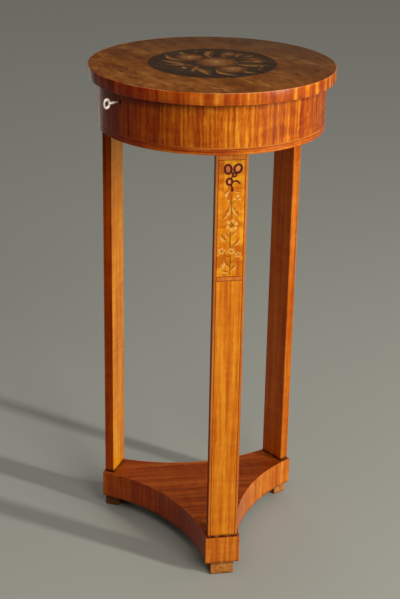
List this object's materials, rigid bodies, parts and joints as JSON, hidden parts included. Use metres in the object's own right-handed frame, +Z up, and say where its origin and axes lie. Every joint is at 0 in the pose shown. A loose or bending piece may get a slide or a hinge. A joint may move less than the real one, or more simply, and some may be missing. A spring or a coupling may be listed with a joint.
{
  "type": "work table",
  "caption": "Round work table: veneered drum with a hinged, locking lid over an open well, on straight inlaid legs standing on a hollow-sided triangular platform with block feet.",
  "frame": {"origin": "on the floor, under the axis of the round drum", "axes": "+Z up, -Y towards the lock and key, +X to the right as seen from the lock side"},
  "size_m": [0.366, 0.3825, 0.775],
  "materials": {
    "satinwood": "straight-grained golden veneer, polished",
    "figured_top": "mottled brown veneer, polished",
    "marquetry": "dark ground with an inlaid pattern, polished",
    "leg_panel": "golden veneer with a ribbon and leaf inlay, polished",
    "stringing": "pale inlaid line, polished",
    "carcase": "plain solid wood, oiled or bare",
    "platform_wood": "reddish brown veneer, polished",
    "lock_steel": "worn grey steel",
    "key_steel": "bright handled steel",
    "hinge_brass": "aged brass"
  },
  "bodies": {
    "table": {"frieze_ring": "carcase", "frieze_veneer": "satinwood", "frieze_string": "stringing", "frieze_lower_band": "satinwood", "well_bottom": "carcase", "leg_right": "carcase", "leg_back": "carcase", "leg_left": "carcase", "leg_panel_right": "leg_panel", "leg_panel_back": "leg_panel", "leg_panel_left": "leg_panel", "leg_face_right": "satinwood", "leg_face_back": "satinwood", "leg_face_left": "satinwood", "platform_core": "carcase", "platform_top_veneer": "platform_wood", "platform_side_veneer_front": "satinwood", "platform_side_veneer_right": "satinwood", "platform_side_veneer_left": "satinwood", "platform_corner_right": "satinwood", "platform_corner_back": "satinwood", "platform_corner_left": "satinwood", "foot_right": "satinwood", "foot_back": "satinwood", "foot_left": "satinwood", "lock_plate": "lock_steel", "lock_case": "lock_steel", "lock_pin": "lock_steel", "hinge_table_leaf_left": "hinge_brass", "hinge_table_leaf_right": "hinge_brass", "hinge_pin_left": "hinge_brass", "hinge_pin_right": "hinge_brass"},
    "lid": {"lid_board": "carcase", "lid_edge_band": "satinwood", "lid_top_veneer": "figured_top", "lid_medallion": "marquetry", "link_plate": "lock_steel", "hinge_lid_leaf_left": "hinge_brass", "hinge_lid_leaf_right": "hinge_brass"},
    "key": {"key": "key_steel"},
    "bolt": {"lock_bolt": "lock_steel"}
  },
  "joints": [
    {"name": "lid_open", "type": "hinge", "parent": "table", "child": "lid", "pos_m": [0, 0.1728, 0.7572], "axis": [-1, 0, 0], "range_deg": [0, 100]},
    {"name": "key_turn", "type": "hinge", "parent": "table", "child": "key", "pos_m": [0, -0.17, 0.7426], "axis": [0, 1, 0], "range_deg": [0, 360]},
    {"name": "bolt_throw", "type": "slide", "parent": "table", "child": "bolt", "axis": [1, 0, 0], "range_m": [0, 0.006]}
  ],
  "couplings": [
    {"joint": "key_turn", "follows": "bolt_throw", "rad_per_m": 1047.2}
  ]
}
